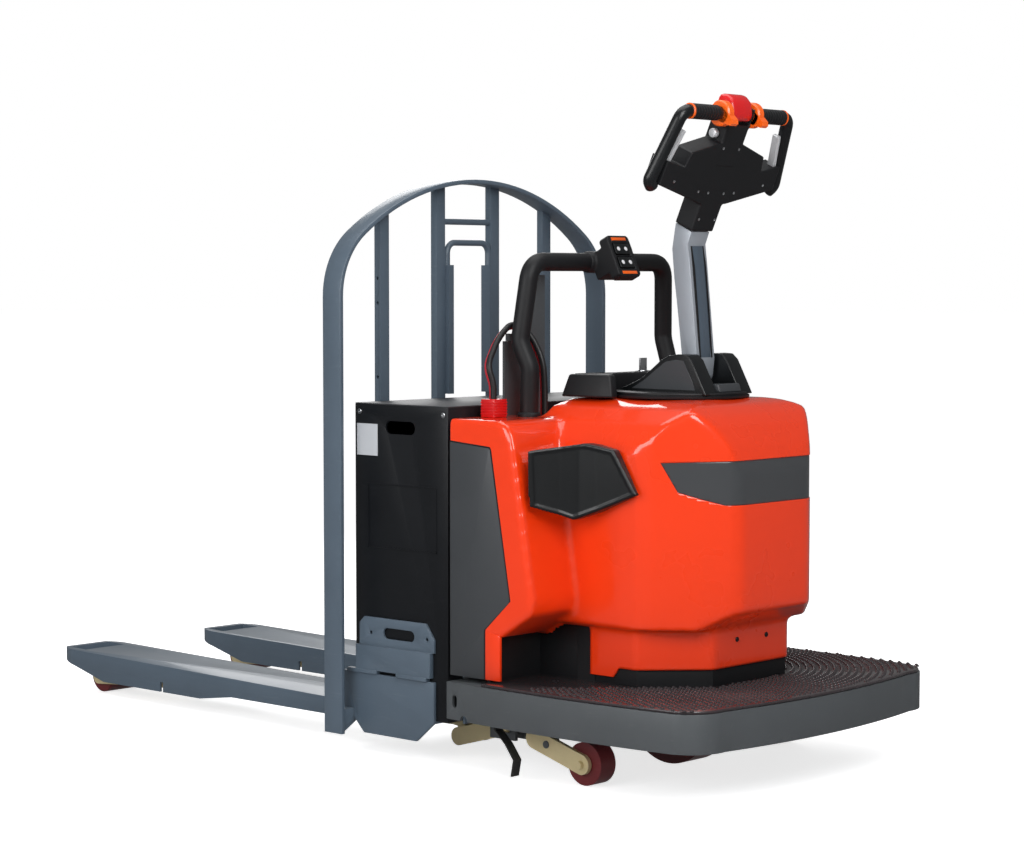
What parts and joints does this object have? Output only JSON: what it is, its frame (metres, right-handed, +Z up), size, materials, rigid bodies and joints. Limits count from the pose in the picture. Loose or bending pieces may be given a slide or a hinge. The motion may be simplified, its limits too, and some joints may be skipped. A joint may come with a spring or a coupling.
{
  "type": "stand-on electric pallet truck",
  "caption": "Ride-on electric pallet truck with forks, arched load backrest, battery tray, enclosed power unit, tiller and standing platform.",
  "frame": {"origin": "on the floor under the middle of the truck's bounding box", "axes": "+X from the fork tips to the rider's platform, +Y across the truck to its left, +Z up"},
  "size_m": [2.2039, 0.882, 1.425],
  "materials": {
    "frame_paint": "satin",
    "skirt_paint": "satin",
    "hood_shell": "glossy",
    "panel_plastic": "satin",
    "case_paint": "satin",
    "cell_block": "matte",
    "lid_plastic": "satin",
    "black_plastic": "textured",
    "pad_foam": "satin",
    "mat_rubber": "ribbed",
    "roller_tyre": "satin",
    "bright_steel": "brushed",
    "zinc_steel": "satin",
    "drive_steel": "matte",
    "tiller_paint": "satin",
    "control_orange": "satin",
    "safety_red": "glossy",
    "control_grey": "satin",
    "cable_red": "satin",
    "cable_black": "satin",
    "strap_rubber": "matte"
  },
  "bodies": {
    "chassis": {"chassis_frame": "frame_paint", "platform": "skirt_paint", "deck_mat": "mat_rubber", "plinth": "black_plastic", "hood": "hood_shell", "visor": "panel_plastic", "side_panel_right": "panel_plastic", "side_panel_left": "panel_plastic", "knee_pad_right": "pad_foam", "knee_pad_left": "pad_foam", "grab_bar": "black_plastic", "pad_housing": "black_plastic", "instrument_cover": "black_plastic", "hydraulic_unit": "skirt_paint", "motor_controller": "skirt_paint", "battery_connector": "safety_red", "cable_red": "cable_red", "cable_black": "cable_black", "static_strap": "strap_rubber"},
    "load_frame": {"load_chassis": "frame_paint", "fork_right": "frame_paint", "fork_left": "frame_paint", "backrest_arch": "frame_paint", "backrest_posts": "frame_paint", "backrest_bars": "bright_steel", "battery_case": "case_paint", "battery_cells": "cell_block", "battery_lid": "lid_plastic", "lift_ram": "bright_steel", "guide_shoes": "bright_steel"},
    "pull_rods": {"pull_rods": "zinc_steel"},
    "lift_crank": {"lift_crank": "zinc_steel"},
    "drive_unit": {"gear_case": "drive_steel", "steering_column": "drive_steel", "turret_cover": "black_plastic", "drive_motor": "drive_steel"},
    "drive_wheel": {"drive_wheel": "roller_tyre"},
    "tiller": {"tiller_arm": "tiller_paint", "tiller_head": "black_plastic", "tiller_loop_right": "black_plastic", "tiller_loop_left": "black_plastic"},
    "throttle": {"throttle": "control_orange"},
    "belly_button": {"belly_button": "safety_red"},
    "key_switch": {"key_switch": "bright_steel"},
    "pad_key_upper": {"pad_key_upper": "black_plastic"},
    "pad_key_lower": {"pad_key_lower": "black_plastic"},
    "load_rocker_right": {"load_rocker_right": "zinc_steel"},
    "load_wheel_right": {"load_wheel_right": "roller_tyre"},
    "battery_keeper_right": {"battery_keeper_right": "frame_paint"},
    "horn_button_right": {"horn_button_right": "control_grey"},
    "speed_paddle_right": {"speed_paddle_right": "control_grey"},
    "stabiliser_arm_right": {"stabiliser_arm_right": "zinc_steel"},
    "stabiliser_wheel_right": {"stabiliser_wheel_right": "roller_tyre"},
    "load_rocker_left": {"load_rocker_left": "zinc_steel"},
    "load_wheel_left": {"load_wheel_left": "roller_tyre"},
    "battery_keeper_left": {"battery_keeper_left": "frame_paint"},
    "horn_button_left": {"horn_button_left": "control_grey"},
    "speed_paddle_left": {"speed_paddle_left": "control_grey"},
    "stabiliser_arm_left": {"stabiliser_arm_left": "zinc_steel"},
    "stabiliser_wheel_left": {"stabiliser_wheel_left": "roller_tyre"}
  },
  "joints": [
    {"name": "lift", "type": "slide", "parent": "chassis", "child": "load_frame", "axis": [0, 0, 1], "range_m": [0, 0.125]},
    {"name": "load_rocker_swing_right", "type": "hinge", "parent": "load_frame", "child": "load_rocker_right", "pos_m": [-0.767, -0.228, 0.06], "axis": [0, 1, 0], "range_deg": [-46.8, 0]},
    {"name": "load_wheel_spin_right", "type": "hinge", "parent": "load_rocker_right", "child": "load_wheel_right", "pos_m": [-0.947, -0.228, 0.041], "axis": [0, 1, 0], "continuous": true},
    {"name": "load_rocker_swing_left", "type": "hinge", "parent": "load_frame", "child": "load_rocker_left", "pos_m": [-0.767, 0.228, 0.06], "axis": [0, 1, 0], "range_deg": [-46.8, 0]},
    {"name": "load_wheel_spin_left", "type": "hinge", "parent": "load_rocker_left", "child": "load_wheel_left", "pos_m": [-0.947, 0.228, 0.041], "axis": [0, 1, 0], "continuous": true},
    {"name": "pull_rod_travel", "type": "slide", "parent": "load_frame", "child": "pull_rods", "axis": [1, 0, 0], "range_m": [0, 0.0207]},
    {"name": "crank_turn", "type": "hinge", "parent": "load_frame", "child": "lift_crank", "pos_m": [0.288, 0, 0.038], "axis": [0, 1, 0], "range_deg": [0, 46.8]},
    {"name": "battery_keeper_lift_right", "type": "slide", "parent": "load_frame", "child": "battery_keeper_right", "axis": [0, 0, 1], "range_m": [0, 0.09]},
    {"name": "battery_keeper_lift_left", "type": "slide", "parent": "load_frame", "child": "battery_keeper_left", "axis": [0, 0, 1], "range_m": [0, 0.09]},
    {"name": "tiller_yaw", "type": "hinge", "parent": "chassis", "child": "drive_unit", "pos_m": [0.698, 0, 0.3], "axis": [0, 0, 1], "range_deg": [-90, 90]},
    {"name": "drive_wheel_spin", "type": "hinge", "parent": "drive_unit", "child": "drive_wheel", "pos_m": [0.698, 0, 0.115], "axis": [0, 1, 0], "continuous": true},
    {"name": "tiller_pitch", "type": "hinge", "parent": "drive_unit", "child": "tiller", "pos_m": [0.74, 0, 0.838], "axis": [0, 1, 0], "range_deg": [0, 75], "stiffness_Nm_per_rad": 30, "springref_deg": -34.38},
    {"name": "throttle_turn", "type": "hinge", "parent": "tiller", "child": "throttle", "pos_m": [0.84347, 0, 1.38118], "axis": [0, 1, 0], "range_deg": [-30, 30], "stiffness_Nm_per_rad": 1},
    {"name": "belly_button_press", "type": "slide", "parent": "tiller", "child": "belly_button", "axis": [-0.4067, 0, -0.9135], "range_m": [0, 0.006], "stiffness_N_per_m": 900, "springref_m": -0.003},
    {"name": "horn_press_right", "type": "slide", "parent": "tiller", "child": "horn_button_right", "axis": [0, 1, 0], "range_m": [0, 0.003], "stiffness_N_per_m": 600, "springref_m": -0.001},
    {"name": "paddle_squeeze_right", "type": "hinge", "parent": "tiller", "child": "speed_paddle_right", "pos_m": [0.79466, -0.183, 1.27156], "axis": [0.9135, 0, -0.4067], "range_deg": [0, 4], "stiffness_Nm_per_rad": 0.6, "springref_deg": -5.73},
    {"name": "horn_press_left", "type": "slide", "parent": "tiller", "child": "horn_button_left", "axis": [0, -1, 0], "range_m": [0, 0.003], "stiffness_N_per_m": 600, "springref_m": -0.001},
    {"name": "paddle_squeeze_left", "type": "hinge", "parent": "tiller", "child": "speed_paddle_left", "pos_m": [0.79466, 0.183, 1.27156], "axis": [0.9135, 0, -0.4067], "range_deg": [-4, 0], "stiffness_Nm_per_rad": 0.6, "springref_deg": 5.73},
    {"name": "key_turn", "type": "hinge", "parent": "chassis", "child": "key_switch", "pos_m": [0.532, 0.07, 0.825], "axis": [0, 0, 1], "range_deg": [0, 90]},
    {"name": "pad_key_press_upper", "type": "slide", "parent": "chassis", "child": "pad_key_upper", "axis": [-0.9063, 0, -0.4226], "range_m": [0, 0.0015], "stiffness_N_per_m": 900, "springref_m": -0.001},
    {"name": "pad_key_press_lower", "type": "slide", "parent": "chassis", "child": "pad_key_lower", "axis": [-0.9063, 0, -0.4226], "range_m": [0, 0.0015], "stiffness_N_per_m": 900, "springref_m": -0.001},
    {"name": "stabiliser_swing_right", "type": "hinge", "parent": "chassis", "child": "stabiliser_arm_right", "pos_m": [0.63, -0.351, 0.075], "axis": [0, 1, 0], "range_deg": [0, 10], "stiffness_Nm_per_rad": 100, "springref_deg": 10},
    {"name": "stabiliser_wheel_spin_right", "type": "hinge", "parent": "stabiliser_arm_right", "child": "stabiliser_wheel_right", "pos_m": [0.725, -0.321, 0.045], "axis": [0, 1, 0], "continuous": true},
    {"name": "stabiliser_swing_left", "type": "hinge", "parent": "chassis", "child": "stabiliser_arm_left", "pos_m": [0.63, 0.351, 0.075], "axis": [0, 1, 0], "range_deg": [0, 10], "stiffness_Nm_per_rad": 100, "springref_deg": 10},
    {"name": "stabiliser_wheel_spin_left", "type": "hinge", "parent": "stabiliser_arm_left", "child": "stabiliser_wheel_left", "pos_m": [0.725, 0.321, 0.045], "axis": [0, 1, 0], "continuous": true}
  ],
  "couplings": [
    {"joint": "load_rocker_swing_right", "follows": "lift", "rad_per_m": -6.5184},
    {"joint": "load_rocker_swing_left", "follows": "lift", "rad_per_m": -6.5184},
    {"joint": "crank_turn", "follows": "lift", "rad_per_m": 6.5184},
    {"joint": "pull_rod_travel", "follows": "lift", "ratio": 0.16483}
  ]
}
